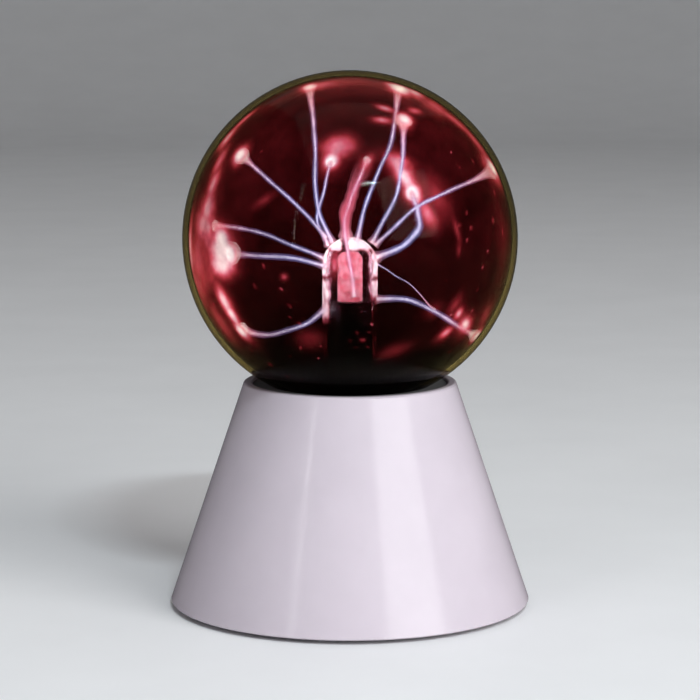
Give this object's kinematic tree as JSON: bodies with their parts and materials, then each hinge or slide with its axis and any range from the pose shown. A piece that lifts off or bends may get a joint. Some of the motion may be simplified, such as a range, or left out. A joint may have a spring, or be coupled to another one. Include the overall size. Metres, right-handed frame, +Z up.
{
  "type": "plasma ball",
  "caption": "Small desk plasma ball: a gas-filled glass globe with a central electrode on a white conical base holding cells, driver board, USB inlet and slide switch.",
  "frame": {"origin": "under the centre of the feet, on the surface that the lamp stands on", "axes": "+Z up along the globe's and the cone's common axis, front towards -Y, USB inlet and switch at +Y"},
  "size_m": [0.0758, 0.0758, 0.1125],
  "materials": {
    "white_abs": "gloss",
    "white_underside": "satin",
    "foot_rubber": "matte",
    "screw_steel": "satin",
    "cell_label": "satin",
    "spring_steel": "polished",
    "contact_nickel": "satin",
    "globe_glass": "polished",
    "stem_glass": "polished",
    "electrode_black": "satin",
    "plasma_glow": "matte",
    "terminal_brass": "satin",
    "black_foam": "matte",
    "bush_rubber": "matte",
    "retainer_plastic": "satin",
    "board_green": "satin",
    "ferrite": "matte",
    "bobbin_plastic": "satin",
    "winding_tape": "satin",
    "winding_copper": "gloss",
    "sink_aluminium": "satin",
    "chip_black": "matte",
    "tinned_legs": "satin",
    "capacitor_sleeve": "satin",
    "film_box": "gloss",
    "resistor_body": "satin",
    "wire_red": "satin",
    "wire_black": "satin",
    "hv_insulation": "satin",
    "socket_steel": "satin",
    "socket_plastic": "matte",
    "switch_phenolic": "matte",
    "knob_black": "matte"
  },
  "bodies": {
    "lamp": {"base_shell": "white_abs", "base_plate": "white_underside", "rubber_feet": "foot_rubber", "base_plate_screws": "screw_steel", "battery_cells": "cell_label", "battery_springs": "spring_steel", "contact_plate_positive": "contact_nickel", "contact_plate_negative": "contact_nickel", "contact_bridges": "contact_nickel", "glass_globe": "globe_glass", "glass_stem": "stem_glass", "exhaust_tip": "stem_glass", "electrode_core": "electrode_black", "electrode_tip": "plasma_glow", "electrode_terminal": "terminal_brass", "foam_ring": "black_foam", "neck_bush": "bush_rubber", "globe_retainer": "retainer_plastic", "retainer_screws": "screw_steel", "circuit_board": "board_green", "board_screws": "screw_steel", "transformer_core": "ferrite", "transformer_bobbin": "bobbin_plastic", "secondary_winding": "winding_tape", "primary_winding": "winding_copper", "heat_sink": "sink_aluminium", "transistor_body": "chip_black", "transistor_legs": "tinned_legs", "transistor_screw": "screw_steel", "transistor_nut": "screw_steel", "electrolytic_capacitors": "capacitor_sleeve", "film_capacitor": "film_box", "driver_chip": "chip_black", "chip_legs": "tinned_legs", "resistors": "resistor_body", "resistor_leads": "tinned_legs", "battery_lead_positive": "wire_red", "battery_lead_negative": "wire_black", "high_voltage_lead": "hv_insulation", "usb_shell": "socket_steel", "usb_tongue": "socket_plastic", "switch_body": "switch_phenolic", "switch_frame": "socket_steel"},
    "battery_door": {"battery_door": "white_underside", "battery_door_screw": "screw_steel"},
    "power_switch": {"switch_slider": "knob_black", "switch_knob": "knob_black"}
  },
  "joints": [
    {"name": "battery_door_hinge", "type": "hinge", "parent": "lamp", "child": "battery_door", "pos_m": [0, -0.0254, 0.002], "axis": [-1, 0, 0], "range_deg": [0, 90]},
    {"name": "power_switch_slide", "type": "slide", "parent": "lamp", "child": "power_switch", "axis": [-1, 0, 0], "range_m": [0, 0.002]}
  ]
}
